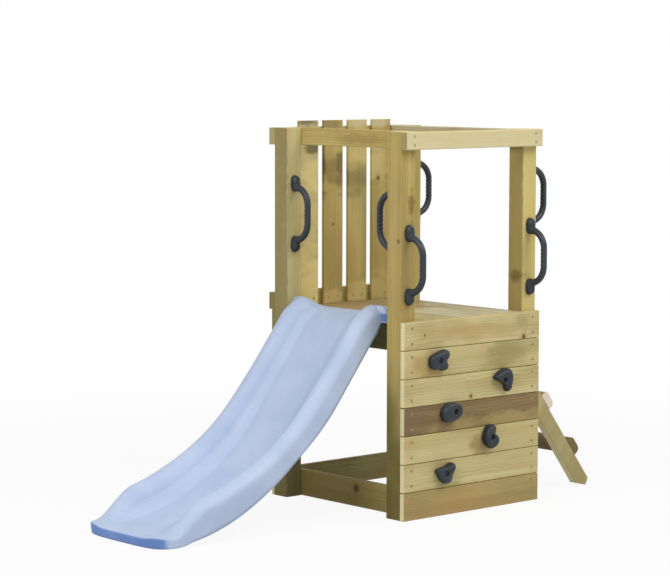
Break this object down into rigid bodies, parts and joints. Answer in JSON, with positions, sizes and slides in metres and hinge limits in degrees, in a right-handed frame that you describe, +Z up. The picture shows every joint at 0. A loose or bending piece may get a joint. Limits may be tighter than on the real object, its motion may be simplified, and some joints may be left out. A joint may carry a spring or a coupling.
{
  "type": "wooden climbing frame",
  "caption": "Wooden climbing frame for small children: post tower with deck, pale blue slide, plank climbing wall with holds, rung ladder, slatted back and dark grab handles.",
  "frame": {"origin": "bottom centre of the bounding box, on the ground", "axes": "+Z up; the slide runs out towards -X, the ladder stands on +X, the climbing wall faces -Y and the slatted back faces +Y"},
  "size_m": [1.9344, 0.7696, 1.336],
  "materials": {
    "post_timber": "pressure-treated pine, lightly planed, dull",
    "rail_timber": "pressure-treated pine, lightly planed, dull",
    "slat_timber": "pressure-treated pine, lightly planed, dull",
    "plank_timber": "pressure-treated pine with knots and greenish streaks, dull",
    "deck_timber": "pressure-treated pine, dull",
    "bearer_timber": "pressure-treated pine, dull",
    "ladder_timber": "pressure-treated pine, dull",
    "slide_plastic": "blow-moulded pale blue plastic, satin",
    "handle_plastic": "dark grey moulded plastic, satin",
    "hold_plastic": "dark grey moulded plastic, fine texture",
    "fastener_steel": "yellow-zinc plated steel, dull"
  },
  "bodies": {
    "root": {"post_slide_wall": "post_timber", "post_slide_back": "post_timber", "post_ladder_wall": "post_timber", "post_ladder_back": "post_timber", "top_rail_wall": "rail_timber", "top_rail_back": "rail_timber", "top_rail_slide": "rail_timber", "top_rail_ladder": "rail_timber", "lower_rail_back": "rail_timber", "back_slat_1": "slat_timber", "back_slat_2": "slat_timber", "back_slat_3": "slat_timber", "back_slat_4": "slat_timber", "wall_plank_1": "plank_timber", "wall_plank_2": "plank_timber", "wall_plank_3": "plank_timber", "wall_plank_4": "plank_timber", "wall_plank_5": "plank_timber", "wall_plank_6": "plank_timber", "wall_plank_7": "plank_timber", "deck_board_1": "deck_timber", "deck_board_2": "deck_timber", "deck_board_3": "deck_timber", "deck_board_4": "deck_timber", "deck_board_5": "deck_timber", "bearer_slide": "bearer_timber", "bearer_ladder": "bearer_timber", "bearer_wall": "bearer_timber", "bearer_back": "bearer_timber", "apron_back": "bearer_timber", "foot_rail_slide": "bearer_timber", "foot_rail_back": "bearer_timber", "ladder_stringer_wall": "ladder_timber", "ladder_stringer_back": "ladder_timber", "ladder_rung_1": "ladder_timber", "ladder_rung_2": "ladder_timber", "ladder_rung_3": "ladder_timber", "slide": "slide_plastic", "handle_slide_wall": "handle_plastic", "handle_slide_back": "handle_plastic", "handle_wall_slide": "handle_plastic", "handle_wall_ladder": "handle_plastic", "handle_ladder_wall": "handle_plastic", "handle_ladder_back": "handle_plastic", "climbing_hold_1": "hold_plastic", "climbing_hold_2": "hold_plastic", "climbing_hold_3": "hold_plastic", "climbing_hold_4": "hold_plastic", "climbing_hold_5": "hold_plastic", "plank_screws": "fastener_steel", "slat_screws": "fastener_steel", "deck_screws": "fastener_steel", "top_rail_screws": "fastener_steel", "bearer_screws": "fastener_steel", "foot_rail_screws": "fastener_steel", "ladder_screws": "fastener_steel", "handle_screws": "fastener_steel", "slide_screws": "fastener_steel", "hold_bolts": "fastener_steel"}
  },
  "joints": []
}
